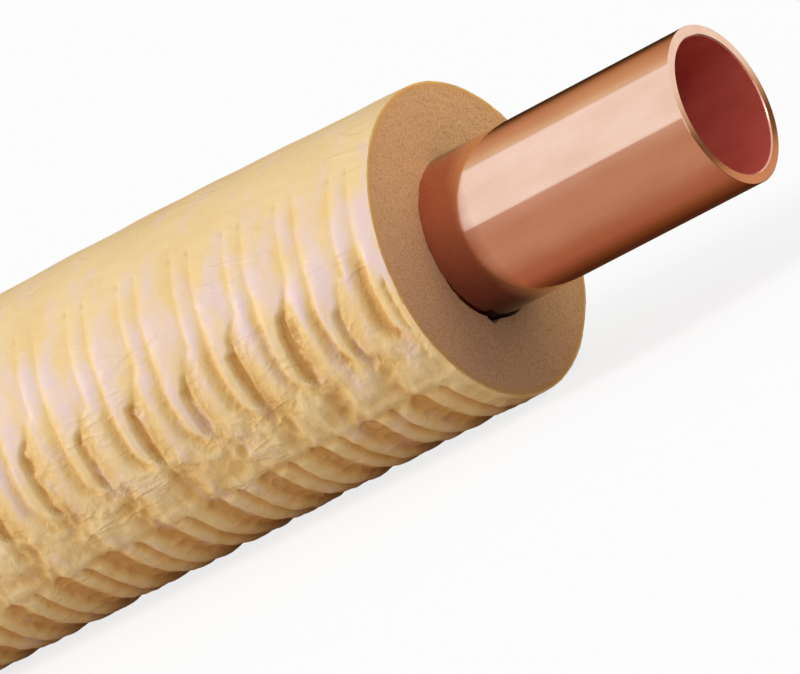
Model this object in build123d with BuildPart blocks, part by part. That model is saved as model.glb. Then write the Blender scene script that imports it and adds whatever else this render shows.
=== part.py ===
"""Insulated copper tube: bare copper at one end, a foam sleeve and a jacket embossed with ring waves."""
import os
from math import cos, radians, sin

from build123d import *
from build123d import SkipClean

# Copper tube, with the edges of both cut ends broken
tube_od = 15.0
tube_wall = 1.0
tube_length = 1000.0
outer_edge_radius = 0.3
inner_edge_chamfer = 0.2

# Insulation: the foam fills the room between the tube and the jacket, but for a skin of glue under the jacket
bare_length = 28.0
jacket_od = 30.0
jacket_wall = 0.8
glue_gap = 0.05

# The bare end was cut free by hand, so the cut leans: the sleeve is shortest at this place round the tube
cut_lean_angle = 3.8
cut_lean_toward = 122.6

# One wave of the embossing, from the bare end: narrow hollow, rib, wide hollow, and a ridge before the next
wave_pitch = 6.0
narrow_hollow_width = 0.8
narrow_hollow_depth = 0.3
rib_width = 1.3
wide_hollow_width = 2.6
wide_hollow_depth = 0.45
first_wave_inset = 2.4
last_land_length = 3.0

# Zones round the jacket, as angles from the top that grow toward the front
smooth_strip_start = -54.4
smooth_strip_angle = 90.0
land_angle = 22.0
bottom_waves_angle = 92.0
side_pocket_angle = 36.0

# Sizes that follow from the ones above
tube_radius = tube_od / 2
jacket_radius = jacket_od / 2
jacket_bore = jacket_radius - jacket_wall
foam_radius = jacket_bore - glue_gap
axis_height = jacket_radius
far_end = -tube_length / 2
bare_end = tube_length / 2
cut_place = bare_end - bare_length
first_wave = cut_place - first_wave_inset
wave_count = int((first_wave - far_end - last_land_length) / wave_pitch)
last_wave = first_wave - wave_count * wave_pitch
side_waves_angle = (360 - smooth_strip_angle - 2 * land_angle - bottom_waves_angle) / 2
front_waves_start = smooth_strip_start + smooth_strip_angle
bottom_waves_start = front_waves_start + side_waves_angle + land_angle
back_waves_start = bottom_waves_start + bottom_waves_angle + land_angle

tube_axis = Axis((0, 0, axis_height), (1, 0, 0))


def outward(angle):
    """The direction that points away from the axis at a place round the tube."""
    return Vector(0, -sin(radians(angle)), cos(radians(angle)))


# The far end's plane, turned so that the round faces close at the edge of the smooth strip
far_plane = Plane((far_end, 0, axis_height), x_dir=outward(front_waves_start), z_dir=(1, 0, 0))
lean = outward(cut_lean_toward) * sin(radians(cut_lean_angle))
cut_plane = Plane((cut_place, 0, axis_height), z_dir=Vector(cos(radians(cut_lean_angle)), 0, 0) + lean)


def sleeve(outer_radius, inner_radius, start, end):
    """A plain round sleeve between two places along the tube."""
    with BuildPart() as tube:
        with BuildSketch(far_plane.offset(start - far_end)):
            Circle(outer_radius)
            Circle(inner_radius, mode=Mode.SUBTRACT)
        extrude(amount=end - start)
    return tube.part


def hollow(inset, width, depth, start, sweep):
    """One rounded hollow that runs part of the way round the jacket, in the first wave."""
    right = first_wave - inset
    middle = right - width / 2
    left = right - width
    section_normal = Vector(1, 0, 0).cross(outward(start))
    with BuildPart() as ring:
        with BuildSketch(Plane((0, 0, axis_height), x_dir=(1, 0, 0), z_dir=section_normal)):
            with BuildLine():
                ThreePointArc((right, jacket_radius), (middle, jacket_radius - depth), (left, jacket_radius))
                Line((left, jacket_radius), (right, jacket_radius))
            make_face()
        revolve(axis=tube_axis, revolution_arc=sweep)
    return ring.part


def narrow_hollow(start, sweep):
    return hollow(0, narrow_hollow_width, narrow_hollow_depth, start, sweep)


def wide_hollow(start, sweep):
    return hollow(narrow_hollow_width + rib_width, wide_hollow_width, wide_hollow_depth, start, sweep)


# Copper tube, from end to end
with BuildPart() as copper_tube:
    add(sleeve(tube_radius, tube_radius - tube_wall, far_end, bare_end))
    rims = copper_tube.edges().filter_by(GeomType.CIRCLE).group_by(SortBy.RADIUS)
    chamfer(rims[0], inner_edge_chamfer)
    rims = copper_tube.edges().filter_by(GeomType.CIRCLE).group_by(SortBy.RADIUS)
    fillet(rims[-1], outer_edge_radius)

# Foam sleeve between the tube and the jacket, sawn off along the leaning cut
with BuildPart() as foam_insulation:
    add(sleeve(foam_radius, tube_radius, far_end, bare_end))
    split(bisect_by=cut_plane, keep=Keep.BOTTOM)

# One wave of the jacket: beside the strip the wide hollow is a pocket low on the side, below it runs through
with SkipClean(), BuildPart() as wave_ring:
    add(sleeve(jacket_radius, jacket_bore, first_wave - wave_pitch, first_wave))
    hollows = [
        narrow_hollow(front_waves_start, side_waves_angle),
        wide_hollow(front_waves_start + side_waves_angle - side_pocket_angle, side_pocket_angle),
        narrow_hollow(bottom_waves_start, bottom_waves_angle),
        wide_hollow(bottom_waves_start, bottom_waves_angle),
        narrow_hollow(back_waves_start, side_waves_angle),
        wide_hollow(back_waves_start, side_pocket_angle),
    ]
    add(hollows, mode=Mode.SUBTRACT)

# Jacket: plain at both cut ends, with its waves joined end to end between them
with SkipClean(), BuildPart() as film_jacket:
    add(sleeve(jacket_radius, jacket_bore, first_wave, bare_end))
    split(bisect_by=cut_plane, keep=Keep.BOTTOM)
    add(sleeve(jacket_radius, jacket_bore, far_end, last_wave))
    with Locations(*[(-wave_pitch * number, 0, 0) for number in range(wave_count)]):
        add(wave_ring.part)

copper_tube.part.label = "copper_tube"
foam_insulation.part.label = "foam_insulation"
film_jacket.part.label = "film_jacket"

os.makedirs("parts", exist_ok=True)
export_step(copper_tube.part, "parts/copper_tube.step")
export_step(foam_insulation.part, "parts/foam_insulation.step")
export_step(film_jacket.part, "parts/film_jacket.step")
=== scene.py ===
# %% [markdown]
# # An insulated copper tube
# The object is a length of bright copper tube in a foam sleeve, with a thin cream jacket that is embossed with
# ring waves. It lies on the floor along X, and its bare copper end points to +X.
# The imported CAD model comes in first. It is the frame: every piece made here sits where the solids sit.

# %% Load the frame
import math
from types import SimpleNamespace

import bmesh
import bpy
import numpy as np
from mathutils import Matrix, Vector, noise


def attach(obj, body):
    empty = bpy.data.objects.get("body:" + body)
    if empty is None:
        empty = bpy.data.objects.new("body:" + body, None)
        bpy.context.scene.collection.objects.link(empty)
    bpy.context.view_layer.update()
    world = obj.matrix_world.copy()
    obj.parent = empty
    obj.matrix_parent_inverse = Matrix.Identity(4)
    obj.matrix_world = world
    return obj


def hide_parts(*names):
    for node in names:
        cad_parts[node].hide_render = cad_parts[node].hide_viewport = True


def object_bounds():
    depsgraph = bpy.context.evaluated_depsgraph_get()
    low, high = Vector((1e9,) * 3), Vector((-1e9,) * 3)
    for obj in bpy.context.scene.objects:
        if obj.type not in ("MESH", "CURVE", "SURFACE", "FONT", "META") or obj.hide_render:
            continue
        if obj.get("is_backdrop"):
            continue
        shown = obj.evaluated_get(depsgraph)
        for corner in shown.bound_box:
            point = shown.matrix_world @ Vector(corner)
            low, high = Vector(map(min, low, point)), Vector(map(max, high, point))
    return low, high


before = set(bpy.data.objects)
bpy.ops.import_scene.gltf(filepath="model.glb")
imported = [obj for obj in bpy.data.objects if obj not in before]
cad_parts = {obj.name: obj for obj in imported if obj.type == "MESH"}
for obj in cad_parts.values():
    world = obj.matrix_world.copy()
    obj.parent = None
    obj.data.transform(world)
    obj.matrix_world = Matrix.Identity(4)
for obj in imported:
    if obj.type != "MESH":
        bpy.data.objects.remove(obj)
cad_low, cad_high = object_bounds()
print("nodes:", sorted(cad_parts), "box:", [round(v, 4) for v in (*cad_low, *cad_high)])

# %% [markdown]
# ## Sizes
# Blender works in metres, and the sizes of a tube are easier to read in millimetres, so each one is written in
# millimetres times MM. A place round the tube is an angle from the top that grows toward the front. Left alone on a
# floor, the tube comes to rest rolled a little to the front, so the pattern on the jacket starts that far round.
# At the cut the foam flares out over a short length to just under the film's outside, so only the film's thin edge
# shows there.

# %% Sizes of the tube, the sleeve and the jacket
MM = 0.001
BARE_END, FAR_END = 500 * MM, -500 * MM
AXIS_HEIGHT = 15 * MM
TUBE_RADIUS, BORE_RADIUS = 7.5 * MM, 6.5 * MM
FOAM_RADIUS = 14.15 * MM
JACKET_RADIUS, JACKET_BORE = 15 * MM, 14.2 * MM
CUT_PLACE = 472 * MM
CUT_LEAN = math.tan(math.radians(3.8))
REST_ROLL = 10.6
CUT_LEAN_TOWARD = 112.0 + REST_ROLL
FILM_EDGE, FLARE = 14.92 * MM, 1.4 * MM
WAVE_PITCH = 6.0
FIRST_WAVE = 2.4
print("sleeve length mm:", round((CUT_PLACE - FAR_END) / MM, 1))

# %% [markdown]
# ## The camera
# The photograph is taken with a long lens, close to the bare end. Three angles set it: how far the tube points
# toward the lens, how steeply it climbs across the picture, and how far the tube is rolled under the lens.
# Writing the tube's own axes in the camera's axes gives the camera's rotation straight away. The lens then follows from
# the picture's width and from how many pixels a millimetre of the tube covers.

# %% Make the camera
tilt, climb, roll = math.radians(31.2), math.radians(27.47), math.radians(-70 - REST_ROLL)
along = Vector((math.cos(tilt) * math.cos(climb), math.cos(tilt) * math.sin(climb), math.sin(tilt)))
facing = Vector((-math.sin(tilt) * math.cos(climb), -math.sin(tilt) * math.sin(climb), math.cos(tilt)))
across = Vector((math.sin(climb), -math.cos(climb), 0))
upright = math.cos(roll) * facing + math.sin(roll) * across
turn = Matrix((along, upright.cross(along), upright))

DISTANCE = 1000 * MM
PIXELS_PER_MM, PICTURE_WIDTH = 11.5, 800
seen_from_lens = Vector((6.5 * MM, 8.9 * MM, -DISTANCE))
camera = bpy.data.objects.new("camera", bpy.data.cameras.new("camera"))
camera.data.sensor_width = 36
camera.data.lens = PIXELS_PER_MM * DISTANCE / MM * camera.data.sensor_width / PICTURE_WIDTH
camera.data.clip_start, camera.data.clip_end = 0.01, 200
camera.matrix_world = Matrix.LocRotScale(Vector((CUT_PLACE, 0, AXIS_HEIGHT)) - turn @ seen_from_lens, turn, None)
bpy.context.scene.collection.objects.link(camera)
bpy.context.scene.camera = camera
print("lens mm:", round(camera.data.lens), "at", [round(v, 3) for v in camera.location])

# %% [markdown]
# ## Turned pieces
# All three pieces are round, so each starts as an outline beside the axis that is spun once round it. Spin leaves
# a seam where it closes, so doubles are merged and the normals are recalculated before the mesh is kept.
# Two forms near the cut belong to the foam and the jacket alike, so they are functions too: the knife leaned a little,
# and the hand that held the sleeve pressed its top in.

# %% Helpers for turned pieces
def spun(outline, steps, closed=True):
    """A bmesh with the outline, as (x, radius) pairs, spun once round the tube's axis."""
    bm = bmesh.new()
    points = [bm.verts.new((x, 0, AXIS_HEIGHT + radius)) for x, radius in outline]
    pairs = list(zip(points, points[1:] + points[:1] if closed else points[1:]))
    edges = [bm.edges.new(pair) for pair in pairs]
    bmesh.ops.spin(
        bm, geom=points + edges, cent=(0, 0, AXIS_HEIGHT), axis=(1, 0, 0), angle=math.tau, steps=steps, use_merge=True
    )
    bmesh.ops.remove_doubles(bm, verts=bm.verts, dist=0.0005 * MM)
    return bm


def around(point):
    """The place round the tube of a point, in degrees from the top toward the front, and its radius."""
    y, z = point.y, point.z - AXIS_HEIGHT
    return math.degrees(math.atan2(-y, z)) % 360, math.hypot(y, z)


def put(x, radius, angle):
    """The point at a place along the tube, a radius and an angle."""
    a = math.radians(angle)
    return Vector((x, -radius * math.sin(a), AXIS_HEIGHT + radius * math.cos(a)))


PRESSED_LENGTH, LEANING_LENGTH = 28.0, 2.0
PRESSED_TOP, PRESSED_ALL, PRESSED_PLACE = 0.72 * MM, 0.05 * MM, 5.0


def squeeze(t, angle):
    """How far the sleeve is pressed in at t mm from the cut and at an angle."""
    fade = min(1, max(0, (PRESSED_LENGTH - t) / PRESSED_LENGTH))
    pressed = PRESSED_TOP * math.cos(math.radians(angle - PRESSED_PLACE)) + PRESSED_ALL
    return max(0, pressed) * fade


def lean(radius, angle):
    """How far the leaning cut lies from its middle at a place on the sleeve's end."""
    return -CUT_LEAN * radius * math.cos(math.radians(angle - CUT_LEAN_TOWARD))


def finished_piece(name, bm, node, sharp=35):
    """Turns a bmesh into a smooth-shaded object that stands for a CAD node."""
    bmesh.ops.recalc_face_normals(bm, faces=bm.faces)
    mesh = bpy.data.meshes.new(name)
    bm.to_mesh(mesh)
    bm.free()
    mesh.polygons.foreach_set("use_smooth", [True] * len(mesh.polygons))
    mesh.set_sharp_from_angle(angle=math.radians(sharp))
    piece = bpy.data.objects.new(name, mesh)
    bpy.context.scene.collection.objects.link(piece)
    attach(piece, "root")
    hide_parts(node)
    triangles = sum(len(p.vertices) - 2 for p in mesh.polygons)
    print(name, "triangles:", triangles)
    return piece


# %% [markdown]
# ## The copper tube
# A drawn tube has a true round wall, so its outline is a plain oblong. The saw leaves sharp rims, which a deburring
# tool rounds on the outside and breaks on the inside. Bevel does both on the rim edges that the spin has made.
# A mirror shows the smallest fault, so the end faces are shaded flat: shared normals would bend what the wall reflects.

# %% Make the copper tube
COPPER_STEPS = 256
wall = [(FAR_END, BORE_RADIUS), (BARE_END, BORE_RADIUS), (BARE_END, TUBE_RADIUS), (FAR_END, TUBE_RADIUS)]
bm = spun(wall, COPPER_STEPS)


def rim_edges(bm, radius):
    """The edges of both end rims at a radius."""
    chosen = []
    for edge in bm.edges:
        ends = [v.co for v in edge.verts]
        at_end = all(abs(abs(p.x) - BARE_END) < 0.01 * MM for p in ends)
        if at_end and all(abs(around(p)[1] - radius) < 0.01 * MM for p in ends):
            chosen.append(edge)
    return chosen


RIM_BREAK, RIM_ROUND = 0.12 * MM, 0.06 * MM
for radius, width, segments in ((BORE_RADIUS, RIM_BREAK, 1), (TUBE_RADIUS, RIM_ROUND, 2)):
    bmesh.ops.bevel(
        bm,
        geom=rim_edges(bm, radius),
        offset=width,
        affect="EDGES",
        segments=segments,
        profile=0.5,
        material=-1,
    )
inside = bm.verts.layers.float.new("inside")
for vert in bm.verts:
    vert[inside] = float(around(vert.co)[1] < BORE_RADIUS + RIM_BREAK / 2)
copper_tube = finished_piece("copper_tube", bm, "copper_tube", sharp=15)
for face in copper_tube.data.polygons:
    face.use_smooth = abs(face.normal.x) < 0.99

# %% [markdown]
# ## The foam sleeve
# Only the cut face of the foam shows. A knife has opened its fine cells there, so that face gets many rings of
# vertices. Behind it the sleeve is a plain tube, with two rows for the pressed part and one where the flare starts.

# %% Make the foam sleeve
FACE_RINGS, FACE_STEPS = 62, 360
PRESSED_ROWS = [PRESSED_LENGTH, PRESSED_LENGTH / 2]
face_radii = np.linspace(FILM_EDGE - 0.005 * MM, TUBE_RADIUS, FACE_RINGS)
side = [(FAR_END, TUBE_RADIUS), (FAR_END, FOAM_RADIUS)]
side += [(CUT_PLACE - t * MM, FOAM_RADIUS) for t in PRESSED_ROWS + [FLARE / MM + 0.2]]
bm = spun(side + [(CUT_PLACE, float(r)) for r in face_radii], FACE_STEPS)
print("foam rows behind the face:", len(side))

# %% [markdown]
# A noise moves each vertex of the face in or out by a few hundredths of a millimetre. Below the tube the foam has come
# away from the copper in a narrow gap, and a crumb of it has left a nick. A bump could not show those: they have to
# be dark inside. So there the face falls back steeply wherever the tear reaches past the tube.

# %% Cut, tear and press the foam
NICK_PLACE, NICK_HALF_WIDTH, NICK_DEPTH = 138.0 + REST_ROLL, 1.3 * MM, 0.75 * MM
GAP_HALF_WIDTH, GAP_DEPTH = 6.5 * MM, 0.24 * MM
TEAR_SLOPE, DEEPEST_TEAR = 8, 2.5 * MM


def torn_back(point, angle, radius):
    """How far the face has fallen back at a place in the nick or in the gap."""
    off = abs((angle - NICK_PLACE + 180) % 360 - 180) * math.pi / 180 * radius
    nick = NICK_DEPTH * max(0, 1 - off / NICK_HALF_WIDTH)
    gap = GAP_DEPTH * max(0, 1 - (off / GAP_HALF_WIDTH) ** 2) * (1 + 0.6 * noise.noise(point / (1.5 * MM)))
    reach = max(nick, gap)
    if reach <= radius - TUBE_RADIUS:
        return 0
    return min(DEEPEST_TEAR, (reach - radius + TUBE_RADIUS) * TEAR_SLOPE)


for vert in bm.verts:
    angle, radius = around(vert.co)
    t = (CUT_PLACE - vert.co.x) / MM
    shift = lean(radius, angle) if t < LEANING_LENGTH else 0
    if t < FLARE / MM:
        grain = 0.055 * noise.noise(vert.co / (0.33 * MM)) + 0.05 * noise.noise(vert.co / (1.6 * MM))
        shift += min(grain, 0.03) * MM
        shift -= torn_back(vert.co, angle, radius)
    outward = min(1, max(0, (radius - TUBE_RADIUS) / (FOAM_RADIUS - TUBE_RADIUS)))
    vert.co = put(vert.co.x + shift, radius - squeeze(t, angle) * outward, angle)
print("foam's face reaches x mm:", round(max(vert.co.x for vert in bm.verts) / MM, 2))

# %% [markdown]
# Toward the film the foam is denser and yellower. A number on each vertex says how near the film it is, from 0 to 1,
# and the foam's finish reads it.

# %% Mark the foam's skin
SKIN_WIDTH = 0.9 * MM
skin = bm.verts.layers.float.new("skin")
for vert in bm.verts:
    angle, radius = around(vert.co)
    t = (CUT_PLACE - vert.co.x) / MM
    vert[skin] = max(0, 1 - (FILM_EDGE - radius - squeeze(t, angle)) / SKIN_WIDTH)
foam_insulation = finished_piece("foam_insulation", bm, "foam_insulation", sharp=60)

# %% [markdown]
# ## The jacket's relief
# The film was pressed on in a mould with ring waves. Each wave is a broad plate and a narrow rib, laid like
# shingles: high at the far edge, sinking toward the cut. On the side, the plate sinks into a pocket and the rib into
# a narrow one; both end at a smooth land, and under the land the waves run on round the bottom. The top is a plain
# strip. Each profile below is a short table of heights across one wave, read with numpy's interp.

# %% Heights across one wave, in millimetres from the crest
# The first number of a pair is the way from the wave's near edge toward the far end of the tube.
SHINGLES = [
    (0, -0.28), (0.25, -0.2), (0.5, -0.12), (0.8, -0.05), (1.15, -0.005), (1.35, 0), (1.6, -0.035), (1.85, -0.12),
    (2.05, -0.23), (2.4, -0.17), (2.9, -0.105), (3.5, -0.05), (4.2, -0.012), (4.7, 0), (5.1, -0.015), (5.5, -0.075),
    (5.8, -0.17), (6, -0.28),
]
CHANNEL = [
    (-0.55, 0), (-0.35, -0.08), (-0.1, -0.4), (0.1, -0.75), (0.3, -0.97), (0.45, -1), (0.7, -0.85), (1, -0.5),
    (1.3, -0.17), (1.6, 0),
]
PLATE = [
    (1.6, 0), (2.1, -0.05), (2.5, -0.15), (3.0, -0.24), (3.6, -0.4), (4.1, -0.6), (4.45, -0.62), (4.6, -0.42),
    (4.75, -0.1), (4.88, 0),
]
LAND = [
    (0, -0.1), (1.9, -0.12), (2.2, -0.17), (2.6, -0.28), (3.4, -0.34), (4.3, -0.28), (4.7, -0.16), (5, -0.1),
    (6, -0.1),
]
BOTTOM = [
    (0, -0.12), (0.25, -0.36), (0.5, -0.44), (0.8, -0.26), (1, -0.07), (1.3, 0), (1.9, 0), (2.2, -0.1),
    (2.6, -0.4), (3.3, -0.62), (4, -0.56), (4.5, -0.3), (4.8, -0.06), (5.1, 0), (5.7, 0), (6, -0.12),
]


def profile(table, way):
    """The height that a table gives at a way across the wave."""
    heights = np.array(table)
    return np.interp(way, heights[:, 0], heights[:, 1])


def step(low, high, value):
    """0 below low, 1 above high, and a smooth rise between them."""
    share = np.clip((value - low) / (high - low), 0, 1)
    return share * share * (3 - 2 * share)


def bump_at(value, middle, half):
    """A smooth hump of height 1 at the middle that is gone half a width away."""
    return 1 - step(0, 1, np.abs(value - middle) / half)


# %% [markdown]
# No two waves came out of the mould quite alike, so each one draws its own depths, widths and starts from a seeded
# generator, in millimetres and degrees. The three waves next to the cut, which the camera sees best, are given one by
# one.
# A place round the pattern runs from the strip's far edge, 20 degrees behind its middle, half-way round to the line
# opposite. The back of the jacket mirrors the front.

# %% What each wave has of its own
rng = np.random.default_rng(11)
WAVES = 170
plate_depth = rng.uniform(0.75, 1.1, (2, WAVES))
plate_start = rng.uniform(54, 60, (2, WAVES))
plate_wide = rng.uniform(-0.25, 0.25, (2, WAVES))
channel_depth = rng.uniform(0.28, 0.46, (2, WAVES))
channel_start = rng.uniform(56, 68, (2, WAVES))
channel_wide = rng.uniform(0.75, 1.0, (2, WAVES))
plate_depth[0, 1:4] = 0.7, 1.1, 1.0
plate_start[0, 1:4] = 62, 56, 56
plate_wide[0, 1:4] = -0.3, 0.3, 0.1
channel_depth[0, 1:4] = 0.55, 0.45, 0.34
channel_start[0, 1:4] = 56, 64, 58
channel_wide[0, 1:4] = 1.15, 0.95, 0.8
HALF_PATTERN, STRIP_HALF, ARC_RADIUS = 160, 20, 15


def fold(angle):
    """The place round the pattern from the strip's middle, and whether it is at the back."""
    front = (angle + STRIP_HALF) % 360 - STRIP_HALF
    return np.where(front > HALF_PATTERN, 2 * HALF_PATTERN - front, front), front > HALF_PATTERN


def film_noise(t, arc, size, seed):
    """Noise over the unrolled jacket, with features of about that many millimetres."""
    return np.array([noise.noise((a / size, b / size, seed)) for a, b in zip(t, arc)])


def pattern_place(t, angle, fine):
    """Where points lie in the pattern: round it, across their wave, and in which wave."""
    at = SimpleNamespace(t=t, arc=np.radians(angle) * ARC_RADIUS, fine=fine)
    at.place, at.back = fold(angle)
    sway = 0.22 * film_noise(t, at.arc, 4.0, 5.0) * step(30, 45, at.place) if fine else 0 * t
    along_waves = t - FIRST_WAVE + sway
    at.wave = np.clip(np.floor(along_waves / WAVE_PITCH).astype(int) + 1, 0, WAVES - 1)
    at.way = along_waves % WAVE_PITCH
    bent = at.way + 1.0 * step(83, 93, at.place)
    at.rib_wave = np.where(bent > 5, at.wave + 1, at.wave)
    at.bent = np.where(bent > 5, bent - WAVE_PITCH, bent)
    return at


print("waves:", WAVES, "first depths:", plate_depth[0, :4].round(2))

# %% [markdown]
# Below the strip come the shingled bands, faint at first. Lower down the plate sinks into its pocket, whose upper edge
# slants and is ragged, and the rib into its channel, which bends toward the cut at its end.

# %% The side of the jacket
def own(values, at, number):
    """What each point's wave drew for itself."""
    return values[at.back.astype(int), np.clip(number, 0, WAVES - 1)]


def side_height(at):
    """Bands, pockets and channels."""
    bands = profile(SHINGLES, at.way) * (0.4 * step(20, 36, at.place) + 0.6 * step(48, 72, at.place))
    widened = at.way + own(plate_wide, at, at.wave) * bump_at(at.way, 3.0, 2)
    plate = profile(PLATE, widened) * own(plate_depth, at, at.wave)
    slant = np.clip((at.way - 2.5) / 2.3, 0, 1) * 13
    ragged = 4 * film_noise(at.t, at.arc, 1.6, 7.0) if at.fine else 0
    in_plate = step(-1, 2, at.place - own(plate_start, at, at.wave) - slant + ragged) * step(1.3, 1.9, at.way)
    across = (at.bent - 0.45) / own(channel_wide, at, at.rib_wave) + 0.45
    channel = profile(CHANNEL, across) * own(channel_depth, at, at.rib_wave)
    in_channel = step(-4, 8, at.place - own(channel_start, at, at.rib_wave)) * step(1.9, 1.5, at.bent)
    sides = bands + (plate - bands) * in_plate
    return sides + (channel - sides) * in_channel


# %% [markdown]
# The land has a lip round the end of each rib, a crease beside it, and a soft swelling above the arches where the
# bottom waves begin. Degrees times 0.26 are millimetres round the jacket.

# %% The land
MM_PER_DEGREE = 0.26


def land_height(at):
    """The land between the pockets and the bottom waves."""
    lip = 96.5 - 3.5 * np.clip(np.abs(at.bent - 0.3) / 1.3, 0, 1.2) ** 2
    land = profile(LAND, at.way)
    land += 0.2 * bump_at((at.place - lip) * MM_PER_DEGREE, 0.2, 0.6) * bump_at(at.bent, 0.3, 1.7)
    land += 0.08 * bump_at(at.place, 110.5, 3.5) * (1 - bump_at(at.way, 3.4, 1.5))
    land += 0.08 * bump_at(at.place, 108, 5) * bump_at(at.way, 3.4, 1.7)
    crease = np.abs(at.place - 99 + 2.1 * (at.way - 0.7)) * MM_PER_DEGREE
    return land - 0.14 * bump_at(crease, 0, 0.4) * bump_at(at.way, 1.9, 1.3)


# %% [markdown]
# The film was soft when it was pressed, so it is crumpled. Noise does that, and the absolute value of noise gives the
# sharp folds. Each kind has its own part of the pattern: the pockets, the land, everywhere, the bottom, the strip.

# %% Crumples
def crumpled_film(at, height):
    """The height with the fine crumples added."""
    t, arc, place = at.t, at.arc, at.place
    folded = 0.5 - 1.6 * np.abs(film_noise(t, arc / 1.6, 1.2, 1.0)) + 0.2 * film_noise(t, arc, 0.6, 2.0)
    sunken = step(-0.12, -0.4, height) * step(48, 62, place)
    height = height + 0.28 * folded * (sunken * step(1.4, 2.4, at.way) * step(5, 4.4, at.way))
    ridges = 0.5 - 1.5 * np.abs(film_noise(t, arc, 2.4, 6.0))
    lumps = 0.27 * film_noise(t, arc, 3.2, 8.0) + 0.15 * ridges
    height += lumps * (step(84, 92, place) * (1 - 0.6 * step(112, 118, place)))
    wrinkled = 0.5 - 1.6 * np.abs(film_noise(t, arc / 1.4, 1.3, 10.0))
    height += 0.1 * wrinkled * step(86, 94, place) * step(116, 110, place)
    height += 0.1 * film_noise(t, arc, 6.0, 3.0) - 0.03
    height += 0.12 * film_noise(t, arc, 1.5, 9.0) * step(105, 113, place)
    height += 0.05 * film_noise(t / 3, arc, 1.3, 4.0) * (1 - 0.6 * step(25, 40, place))
    return height


# %% [markdown]
# The parts go together from the strip downward. The bottom waves start under arches and are deepest there, and a small
# dent marks the top end of each band. Right at the cut the film is smooth.

# %% The relief as one function of place
BELOW_CREST, DEEPEST = 0.05, -0.72


def relief(t, angle, fine=True):
    """Height in mm above the crest of the jacket at t mm from the cut and an angle from the strip's middle."""
    at = pattern_place(t, angle, fine)
    sides, land = side_height(at), land_height(at)
    height = sides + (land - sides) * step(88, 94, at.place)
    arch = 115.5 - 2.5 * bump_at(at.way, 3.4, 1.4) - 1.8 * bump_at(at.way, 0.5, 0.5)
    height += (profile(BOTTOM, at.way) - height) * step(arch - 0.6, arch + 1.0, at.place)
    height -= 0.1 * bump_at(at.place, arch + 3, 3) * bump_at(at.way, 3.3, 1.3)
    height -= 0.14 * bump_at(at.place, 26, 1.4) * (bump_at(at.way, 2.05, 0.35) + bump_at(at.way, 0.05, 0.3))
    height *= step(0.4, 1.4, t)
    if fine:
        height = crumpled_film(at, height)
    return np.clip(height - BELOW_CREST, DEEPEST, 0)


print("relief at a pocket, mm:", relief(np.array([6.7]), np.array([80.0])).round(3))

# %% [markdown]
# ## The jacket
# A dense tube is only needed near the cut, where the camera is close. So the jacket is two tubes of different
# density: a fine one, 72 mm long, whose columns are crowded toward the front, and a plain one for the rest. The relief
# then moves each vertex in or out.

# %% Make the jacket's fine and plain tubes
FINE_LENGTH = 72.0
columns = np.concatenate(
    [np.arange(-20, 15, 3.0), np.arange(15, 132, 0.95), np.arange(132, 165, 1.6), np.arange(165, 340, 5.0)]
)
fine_rows = np.arange(0, FINE_LENGTH + 0.01, 0.2)
PLAIN_COLUMNS, LEAN_FADES = 32, 25
wave_rows = np.array([0.0, 0.5, 1.0, 2.05, 3.6, 4.9])
sleeve_length = (CUT_PLACE - FAR_END) / MM
first_row = FIRST_WAVE + WAVE_PITCH * math.ceil((FINE_LENGTH - FIRST_WAVE) / WAVE_PITCH)
plain_rows = (first_row + WAVE_PITCH * np.arange(200)[:, None] + wave_rows).ravel()
plain_rows = np.append(plain_rows[plain_rows < sleeve_length - 1], sleeve_length)


def jacket_tube(rows, steps):
    """An open tube with a ring of vertices at each row."""
    return spun([(CUT_PLACE - row * MM, JACKET_RADIUS) for row in rows], steps, closed=False)


def dress(bm, angles, fine):
    """Moves the columns to their angles and the vertices to the relief."""
    verts = list(bm.verts)
    seen = np.array([around(v.co)[0] for v in verts])
    column = np.rint(seen / 360 * len(angles)).astype(int) % len(angles)
    angle = angles[column]
    t = np.array([(CUT_PLACE - v.co.x) / MM for v in verts])
    height = relief(t, angle, fine)
    fade = 1 - step(0, LEAN_FADES, t)
    for v, a, h, row, f in zip(verts, angle, height, t, fade):
        a += REST_ROLL
        radius = JACKET_RADIUS + h * MM - squeeze(row, a)
        v.co = put(CUT_PLACE - row * MM + lean(JACKET_RADIUS, a) * f, radius, a)


def end_ring(bm, x_near, tolerance):
    """The open edges whose two ends lie near a place along the tube."""
    return [e for e in bm.edges if e.is_boundary and all(abs(v.co.x - x_near) < tolerance for v in e.verts)]


fine_tube = jacket_tube(fine_rows, len(columns))
dress(fine_tube, columns, True)
plain_tube = jacket_tube(plain_rows, PLAIN_COLUMNS)
dress(plain_tube, np.arange(PLAIN_COLUMNS) * 360 / PLAIN_COLUMNS, False)
print("fine rows:", len(fine_rows), "columns:", len(columns), "plain rows:", len(plain_rows))

# %% [markdown]
# The two tubes go into one bmesh, and bridge loops joins fine to plain. Then the jacket gets its wall: the rim at each
# end is extruded inward, and a last bridge between those two rims makes the bore. At the cut the rim goes in to the
# film's edge, back along the foam's flare and on along the pressed rows, so that the film fits the foam.

# %% Join the jacket's tubes into one shell
joined = bpy.data.meshes.new("joined")
bm = bmesh.new()
for tube in (fine_tube, plain_tube):
    tube.to_mesh(joined)
    bm.from_mesh(joined)
    tube.free()
bpy.data.meshes.remove(joined)
fine_end = end_ring(bm, CUT_PLACE - FINE_LENGTH * MM, 1 * MM)
plain_end = end_ring(bm, CUT_PLACE - first_row * MM, 1 * MM)
bmesh.ops.bridge_loops(bm, edges=fine_end + plain_end)


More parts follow.
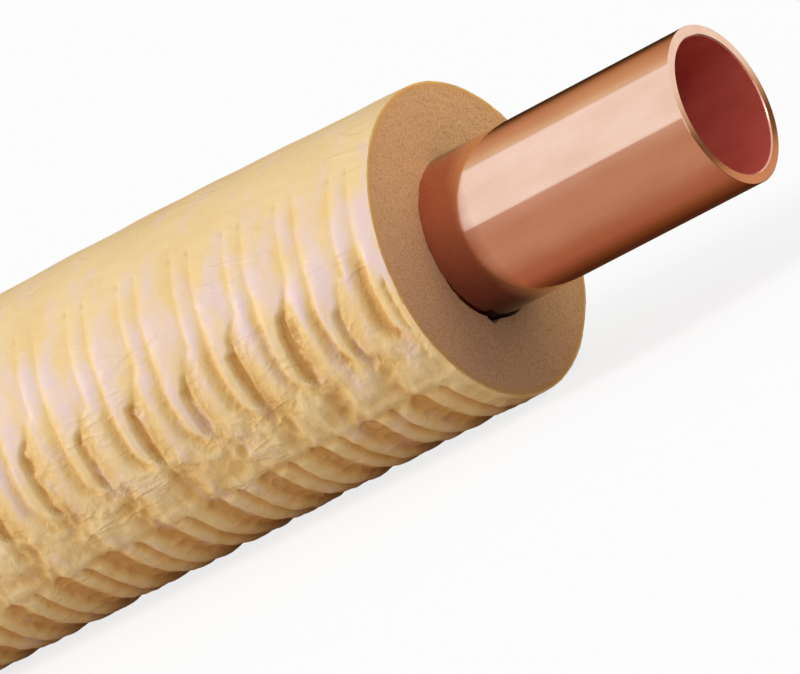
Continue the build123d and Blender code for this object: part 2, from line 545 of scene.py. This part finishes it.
def inward(bm, ring, place, radius):
    """Extrudes a rim to a place and a radius, and gives the new rim."""
    made = bmesh.ops.extrude_edge_only(bm, edges=ring)["geom"]
    for v in (g for g in made if isinstance(g, bmesh.types.BMVert)):
        angle = around(v.co)[0]
        t = (CUT_PLACE - place) / MM
        v.co = put(place + (lean(radius, angle) if t < LEANING_LENGTH else 0), radius - squeeze(t, angle), angle)
    return [g for g in made if isinstance(g, bmesh.types.BMEdge) and g.is_boundary]


near_rim = inward(bm, end_ring(bm, CUT_PLACE, 2 * MM), CUT_PLACE, FILM_EDGE)
for t in [FLARE / MM] + PRESSED_ROWS[::-1]:
    near_rim = inward(bm, near_rim, CUT_PLACE - t * MM, JACKET_BORE)
bore_ends = near_rim + inward(bm, end_ring(bm, FAR_END, 2 * MM), FAR_END, JACKET_BORE)
bmesh.ops.bridge_loops(bm, edges=bore_ends)
longest = max(e.calc_length() for e in bm.edges if all(v.co.x > CUT_PLACE - 3 * MM for v in e.verts))
print("longest edge at the cut, mm:", round(longest / MM, 2), "open edges:", sum(e.is_boundary for e in bm.edges))

# %% [markdown]
# The finish needs to know three things that only the mesh knows: how deep a place lies, how much painted highlight it
# gets, and how crumpled it is. Each goes on the vertices as a number from 0 to 1.

# %% Mark hollow and crumpled places, and where the highlight is painted
FULL_DEPTH = 0.6 * MM
hollow, rubbed, crumpled = (bm.verts.layers.float.new(name) for name in ("hollow", "rubbed", "crumpled"))
for v in bm.verts:
    angle, radius = around(v.co)
    t = (CUT_PLACE - v.co.x) / MM
    place = float(fold(angle - REST_ROLL)[0])
    v[hollow] = min(1, max(0, (JACKET_RADIUS - squeeze(t, angle) - radius) / FULL_DEPTH))
    # Painted highlight: a share for the raised crests of the upper side, where the key light's sheen falls.
    v[rubbed] = min(1, max(0, 1.36 - 4 * v[hollow])) * float(step(14, 50, place) * step(92, 58, place))
    in_pocket = v[hollow] * step(56, 68, place)
    v[crumpled] = float(min(1, 0.08 + 1.1 * in_pocket * step(104, 92, place) + 0.3 * step(84, 95, place)))
film_jacket = finished_piece("film_jacket", bm, "film_jacket", sharp=50)

# %% [markdown]
# ## Finishes
# A material is a graph of nodes. To keep the maths readable, one small class wraps a node's output so that plus,
# minus and times add Math nodes, and one method adds any other node with its settings and inputs.

# %% A readable way to write node graphs
class Reading:
    """One output of a node, usable in sums and products."""

    def __init__(self, finish, socket):
        self.finish, self.socket = finish, socket

    def maths(self, operation, first, second):
        return self.finish.node("ShaderNodeMath", {"operation": operation}, {0: first, 1: second})

    def __add__(self, other):
        return self.maths("ADD", self, other)

    def __radd__(self, other):
        return self.maths("ADD", other, self)

    def __sub__(self, other):
        return self.maths("SUBTRACT", self, other)

    def __rsub__(self, other):
        return self.maths("SUBTRACT", other, self)

    def __mul__(self, other):
        return self.maths("MULTIPLY", self, other)

    def __rmul__(self, other):
        return self.maths("MULTIPLY", other, self)

    def __abs__(self):
        return self.maths("ABSOLUTE", self, 0)


class Finish:
    """A material or world and its node graph."""

    def __init__(self, block):
        self.block = block
        block.use_nodes = True
        self.tree = block.node_tree
        self.tree.nodes.clear()

    def node(self, kind, settings=None, inputs=None, output=0):
        made = self.tree.nodes.new(kind)
        for name, value in (settings or {}).items():
            if name == "stops":
                ramp = made.color_ramp.elements
                while len(ramp) < len(value):
                    ramp.new(1)
                for stop, (position, colour) in zip(ramp, value):
                    stop.position, stop.color = position, (*colour[:3], 1)
            else:
                setattr(made, name, value)
        for name, value in (inputs or {}).items():
            if isinstance(value, Reading):
                self.tree.links.new(value.socket, made.inputs[name])
            else:
                made.inputs[name].default_value = value
        return Reading(self, made.outputs[output])

    def mix(self, share, first, second):
        """A colour between two colours."""
        return self.node("ShaderNodeMix", {"data_type": "RGBA"}, {0: share, 6: first, 7: second}, output=2)

    def stretched(self, scale):
        """Object coordinates, multiplied along each axis."""
        place = self.node("ShaderNodeTexCoord", output=3)
        return self.node("ShaderNodeVectorMath", {"operation": "MULTIPLY"}, {0: place, 1: scale})

    def place(self, axis):
        """Where on the object a point lies, along X, Y or Z."""
        whole = self.node("ShaderNodeTexCoord", output=3)
        return self.node("ShaderNodeSeparateXYZ", {}, {0: whole}, output="XYZ".index(axis))

    def grain(self, scale, detail=2.0, roughness=0.5):
        """Noise from 0 to 1 over the object, with that many features to the metre along each axis."""
        return self.node(
            "ShaderNodeTexNoise",
            {},
            {"Vector": self.stretched(scale), "Scale": 1.0, "Detail": detail, "Roughness": roughness},
        )

    def limits(self, value, low, high, new_low=0.0, new_high=1.0):
        """A value between two limits, moved to between two others."""
        return self.node("ShaderNodeMapRange", {}, {0: value, 1: low, 2: high, 3: new_low, 4: new_high})

    def attribute(self, name):
        """A number that the mesh carries."""
        return self.node("ShaderNodeAttribute", {"attribute_name": name}, output=2)

    def output(self, surface, kind="ShaderNodeOutputMaterial"):
        """Makes a shader the whole surface."""
        self.tree.links.new(surface.socket, self.tree.nodes.new(kind).inputs["Surface"])


def srgb(red, green, blue):
    """A colour as it is read off a picture, from 0 to 255, in the linear values that nodes take."""
    shares = (red / 255, green / 255, blue / 255)
    linear = [c / 12.92 if c <= 0.04045 else ((c + 0.055) / 1.055) ** 2.4 for c in shares]
    return (*linear, 1.0)


def new_finish(name, piece):
    """An empty material on a piece."""
    finish = Finish(bpy.data.materials.new(name))
    piece.data.materials.clear()
    piece.data.materials.append(finish.block)
    return finish


# %% [markdown]
# ## Bright copper
# Drawing a tube through a die leaves fine lines along it. Noise that is stretched a thousandfold along X gives those
# lines; they tint the metal a little and roughen it a little. Most of what the copper shows is reflection.
# The bore was never polished: it is a duller, redder skin, and a number on its vertices switches to that. Next to the
# foam the copper's colour is painted darker and redder, as painted shade for the shaded foam it reflects there. The
# painted shade grows toward the bottom, and underneath and behind it turns near black, a painted shadow.

# %% Copper finish
copper = new_finish("bright_copper", copper_tube)
draw_lines = copper.grain((18, 9000, 9000), detail=3)
clouds = copper.grain((160, 420, 420), detail=3)
tint = copper.limits(draw_lines * 0.25 + clouds * 0.75, 0.35, 0.65)
in_bore = copper.attribute("inside")
bright = copper.mix(tint, srgb(236, 196, 174), srgb(244, 208, 189))
# Painted shade: near the foam the colour darkens, more toward the bottom, and near black underneath and behind as a
# painted shadow.
near_foam = copper.limits(copper.place("X") + clouds * 0.8 * MM, CUT_PLACE + 3.4 * MM, CUT_PLACE + 5.4 * MM, 1, 0)
below = copper.limits(copper.place("Z"), 7 * MM, 19 * MM, 1, 0)
shade_near_foam = copper.mix(below, srgb(208, 146, 134), srgb(132, 84, 78))
underneath = copper.limits(copper.place("Z"), 7.6 * MM, 10.5 * MM, 1, 0)
behind = copper.limits(copper.place("Y"), -1.2 * MM, 0.8 * MM)
shade_near_foam = copper.mix(copper.limits(underneath + behind, 0, 1), shade_near_foam, srgb(40, 24, 22))
bright = copper.mix(near_foam, bright, shade_near_foam)
colour = copper.mix(in_bore, bright, copper.mix(tint, srgb(192, 84, 70), srgb(204, 96, 82)))
rough = 0.075 + tint * 0.025 + in_bore * 0.3
lines = copper.node("ShaderNodeBump", {}, {"Strength": 0.012, "Distance": 0.02 * MM, "Height": draw_lines})
shader = copper.node(
    "ShaderNodeBsdfPrincipled",
    {},
    {"Base Color": colour, "Metallic": 1 - in_bore * 0.8, "Roughness": rough, "Normal": lines},
)
copper.output(shader)
print("copper nodes:", len(copper.tree.nodes))

# %% [markdown]
# ## Tan foam
# The knife opens thousands of cells, each a tenth or two of a millimetre across. A Voronoi texture gives the cell
# walls, and a softer noise gives the flecks of light and dark. Toward the film the skin number turns it ochre.

# %% Foam finish
foam = new_finish("tan_foam", foam_insulation)
cells = foam.node(
    "ShaderNodeTexVoronoi", {"feature": "F1"}, {"Vector": foam.stretched((6800, 6800, 6800)), "Scale": 1.0}
)
flecks = foam.grain((9000, 9000, 9000), detail=2, roughness=0.6)
drift = foam.grain((420, 420, 420), detail=2)
pores = foam.limits(cells * 0.8 + flecks * 0.6, 0.45, 1.1)
colour = foam.mix(pores, srgb(207, 166, 129), srgb(166, 123, 90))
colour = foam.mix(foam.limits(drift, 0.35, 0.7, 0, 0.3), colour, srgb(186, 147, 119))
skin = foam.attribute("skin")
colour = foam.mix(skin * 0.8, colour, srgb(196, 146, 84))
colour = foam.mix(foam.limits(skin, 0.72, 0.95, 0, 0.8), colour, srgb(226, 190, 118))
pits = foam.node("ShaderNodeBump", {}, {"Strength": 0.3, "Distance": 0.06 * MM, "Height": 1 - pores})
shader = foam.node(
    "ShaderNodeBsdfPrincipled",
    {},
    {"Base Color": colour, "Roughness": 0.9, "Specular IOR Level": 0.25, "Normal": pits},
)
foam.output(shader)
print("foam nodes:", len(foam.tree.nodes))

# %% [markdown]
# ## Cream jacket
# The film is cream on the crests, and its hollows are painted a darker ochre: painted shade with the tint of light that
# has passed through the film twice. On the raised bands of the upper side, pale pink patches that run round the tube
# are a painted highlight where the key light's sheen falls. The numbers on the mesh turn into those colours here.
# Creases finer than the mesh come from a bump: noise near its middle value, taken as a distance from it, draws thin
# lines.

# %% Jacket finish
jacket = new_finish("cream_film", film_jacket)
depth, rubbed, crumpled = (jacket.attribute(name) for name in ("hollow", "rubbed", "crumpled"))
mottle = jacket.grain((350, 700, 700), detail=4)
# Painted shade: the hollows turn a darker ochre, with the tint of light that passes through the film.
colour = jacket.node(
    "ShaderNodeValToRGB",
    {"stops": [(0.1, srgb(237, 208, 154)), (0.45, srgb(233, 195, 128)), (0.95, srgb(212, 162, 92))]},
    {0: depth + (mottle - 0.5) * 0.25},
)
patches = jacket.grain((520, 230, 230), detail=4)
# Painted highlight: pale pink patches on the crests of the upper side.
highlight_mix = jacket.limits(rubbed * 0.8 + (patches - 0.5) * 2.2, 0.1, 0.85, 0, 0.95)
colour = jacket.mix(highlight_mix, colour, srgb(231, 204, 200))
ridges = jacket.limits(abs(jacket.grain((700, 700, 700), detail=2) - 0.5), 0, 0.2, 1, 0)
wrinkles = jacket.grain((500, 700, 700), detail=4, roughness=0.6)
folds = jacket.limits(abs(jacket.grain((120, 420, 420), detail=2) - 0.5), 0, 0.05, 0.45, 0)
creases = folds * jacket.limits(jacket.grain((140, 160, 160)), 0.5, 0.62)
height = ridges * crumpled * 0.9 + wrinkles * 0.7 + creases
film = jacket.node("ShaderNodeBump", {}, {"Strength": 1.0, "Distance": 0.12 * MM, "Height": height})
sheen = jacket.limits(mottle, 0.3, 0.7, 0.46, 0.58)
shader = jacket.node(
    "ShaderNodeBsdfPrincipled",
    {},
    {"Base Color": colour, "Roughness": sheen, "Specular IOR Level": 0.35, "Normal": film},
)
jacket.output(shader)
print("jacket nodes:", len(jacket.tree.nodes))

# %% [markdown]
# ## Floor and light
# The photograph's ground is plain white. The floor is a big pale sheet that looks white to the camera and to the
# copper, and gives little light back to the underside of the tube. Light Path tells the two kinds of ray apart.

# %% Floor
def seen_directly(finish):
    """1 for the camera's rays and for those that metal or glass sends on, 0 for the light that lands on things."""
    light_path = finish.tree.nodes.new("ShaderNodeLightPath")
    camera_ray, glossy_ray, clear_ray = (
        Reading(finish, light_path.outputs[name])
        for name in ("Is Camera Ray", "Is Glossy Ray", "Is Transmission Ray")
    )
    total = camera_ray + glossy_ray + clear_ray
    return finish.node("ShaderNodeMath", {"operation": "MINIMUM"}, {0: total, 1: 1.0})


def stage_sheet(name, corner, side, other_side):
    """A flat sheet of the stage, from one corner along two sides."""
    bm = bmesh.new()
    bmesh.ops.create_grid(bm, x_segments=1, y_segments=1, size=0.5)
    side, other_side = Vector(side), Vector(other_side)
    for v in bm.verts:
        v.co = Vector(corner) + side * (v.co.x + 0.5) + other_side * (v.co.y + 0.5)
    mesh = bpy.data.meshes.new(name)
    bm.to_mesh(mesh)
    bm.free()
    sheet = bpy.data.objects.new(name, mesh)
    bpy.context.scene.collection.objects.link(sheet)
    sheet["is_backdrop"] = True
    return sheet


floor = stage_sheet("floor", (-60, -60, 0), (120, 0, 0), (0, 120, 0))
paper = new_finish("white_paper", floor)
direct = seen_directly(paper)
colour = paper.mix(direct, (0.57, 0.52, 0.46, 1), (1, 1, 1, 1))
glow = paper.node("ShaderNodeEmission", {}, {"Color": (1, 1, 1, 1), "Strength": 1.0})
sheet_of_paper = paper.node("ShaderNodeBsdfDiffuse", {}, {"Color": colour})
paper.output(paper.node("ShaderNodeMixShader", {}, {0: direct * 0.8, 1: sheet_of_paper, 2: glow}))
print("floor nodes:", len(paper.tree.nodes))

# %% [markdown]
# Bright metal shows what is round it. Over pure white, copper looks like pale plastic, so glowing brown sheets stand
# beside it, just outside the frame, as painted reflections. Only reflections see these: a mat in front that darkens
# toward the tube, a painted shadow; a dark one behind it; one before the bare end that gives the rim its bands; a low
# board in front; and a tall one behind that grows paler upward, darker near the floor.

# %% Glowing boards, painted reflections for the copper
BROWN, LIFT = (0.57, 0.33, 0.22), 0.2 * MM


def board(name, corner, side, other_side, axis, low, high, stops):
    """A glowing sheet for reflections only, whose colour changes along one axis."""
    sheet = stage_sheet(name, corner, side, other_side)
    finish = new_finish(name, sheet)
    colour = finish.node("ShaderNodeValToRGB", {"stops": stops}, {0: finish.limits(finish.place(axis), low, high)})
    finish.output(finish.node("ShaderNodeEmission", {}, {"Color": colour, "Strength": 1.0}))
    sheet.visible_camera = sheet.visible_diffuse = sheet.visible_shadow = sheet.visible_transmission = False


# Painted shadow: the mat darkens to near black toward the tube.
board(
    "mat", (-0.3, -0.45, LIFT), (1.2, 0, 0), (0, 0.47, 0), "Y", -30 * MM, 10 * MM,
    [(0, BROWN), (0.3, (0.53, 0.3, 0.2)), (0.5, (0.44, 0.19, 0.11)), (0.6, (0.39, 0.15, 0.08)),
     (0.73, (0.19, 0.06, 0.02)), (0.85, (0.08, 0.025, 0.01))],
)
board("dark_mat", (-0.3, 0.02, LIFT), (0.79, 0, 0), (0, 0.4, 0), "Y", 0, 1, [(0, (0.06, 0.02, 0.01))])
board(
    "end_mat", (0.51, 0.02, LIFT), (0.3, 0, 0), (0, 0.13, 0), "Y", 0, 0.15,
    [(0.3, (0.66, 0.36, 0.2)), (0.38, (0.6, 0.32, 0.17)), (0.45, (0.18, 0.08, 0.04)), (0.54, (0.15, 0.07, 0.03)),
     (0.64, (0.62, 0.4, 0.22)), (0.74, (0.96, 0.92, 0.84))],
)
board("front_board", (-0.6, -0.45, 0), (1.1, 0, 0), (0, 0, 0.168), "Z", 0, 1, [(0, BROWN)])
board(
    "back_board", (-2.5, 0.45, 0), (3, 0, 0), (0, 0, 3), "Z", 0, 3,
    [(0.05, (0.06, 0.025, 0.01)), (0.078, (0.2, 0.09, 0.03)), (0.11, (0.42, 0.21, 0.1)), (0.18, (0.6, 0.33, 0.18)),
     (0.31, (0.67, 0.43, 0.25)), (0.5, (0.75, 0.58, 0.39)), (1, (0.81, 0.7, 0.55))],
)

# %% [markdown]
# A white world all round is the soft light. The key, a wide lamp toward the far end, rakes along the waves, so their
# two sides differ, and a very wide warm fill comes from the front. A warm disc above and behind the bare end lights
# the foam, so that the copper's shadow falls on the lower part of its face, and a small disc in front lights the bore.
# Each lamp is linked to the things it is for: its mirror image would burn a white spot into the copper.

# %% World and lamps
world = bpy.data.worlds.new("studio")
bpy.context.scene.world = world
sky = Finish(world)
strength = sky.limits(seen_directly(sky), 0, 1, 0.57, 1.0)
sky.output(
    sky.node("ShaderNodeBackground", {}, {"Color": (1, 1, 1, 1), "Strength": strength}), "ShaderNodeOutputWorld"
)


def lamp(name, kind, at, toward, strength, things, **sizes):
    """A lamp at a place, shining back along a direction, that lights only the things named."""
    data = bpy.data.lights.new(name, kind)
    data.energy = strength
    for size, value in sizes.items():
        setattr(data, size, value)
    made = bpy.data.objects.new(name, data)
    made.location = at
    made.rotation_euler = Vector(toward).to_track_quat("Z", "Y").to_euler()
    bpy.context.scene.collection.objects.link(made)
    lit = bpy.data.collections.new("lit_by_" + name)
    for thing in things:
        lit.objects.link(thing)
    made.light_linking.receiver_collection = lit


lamp("key", "SUN", (0, 0, 1), (-0.777, -0.394, 0.49), 1.62, (film_jacket, floor), angle=math.radians(16))
lamp(
    "fill", "SUN", (0, 0, 1), (-0.15, -0.97, 0.18), 0.75, (film_jacket, floor),
    angle=math.radians(90), color=(1, 0.94, 0.87),
)
lamp(
    "end_lamp", "AREA", (0.517, 0.031, 0.049), (0.045, 0.031, 0.034), 0.0314, (foam_insulation,),
    shape="DISK", size=0.08, color=(1, 0.87, 0.5),
)
lamp(
    "mouth_lamp", "AREA", (0.57, -0.03, 0.065), (0.07, -0.03, 0.05), 0.045, (copper_tube,),
    shape="DISK", size=0.02,
)
bpy.context.scene.view_settings.view_transform = "Standard"

# %% [markdown]
# ## Sizes of the boxes
# The sizes of both boxes, the CAD model's and the visual model's, are printed in millimetres. The visual model
# has to stay in the CAD model's box.

# %% Print the sizes of both boxes
low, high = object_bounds()
boxes = {"cad": [list(cad_low), list(cad_high)], "visual": [list(low), list(high)]}
print({name: [round((b - a) / MM, 2) for a, b in zip(*box)] for name, box in boxes.items()})
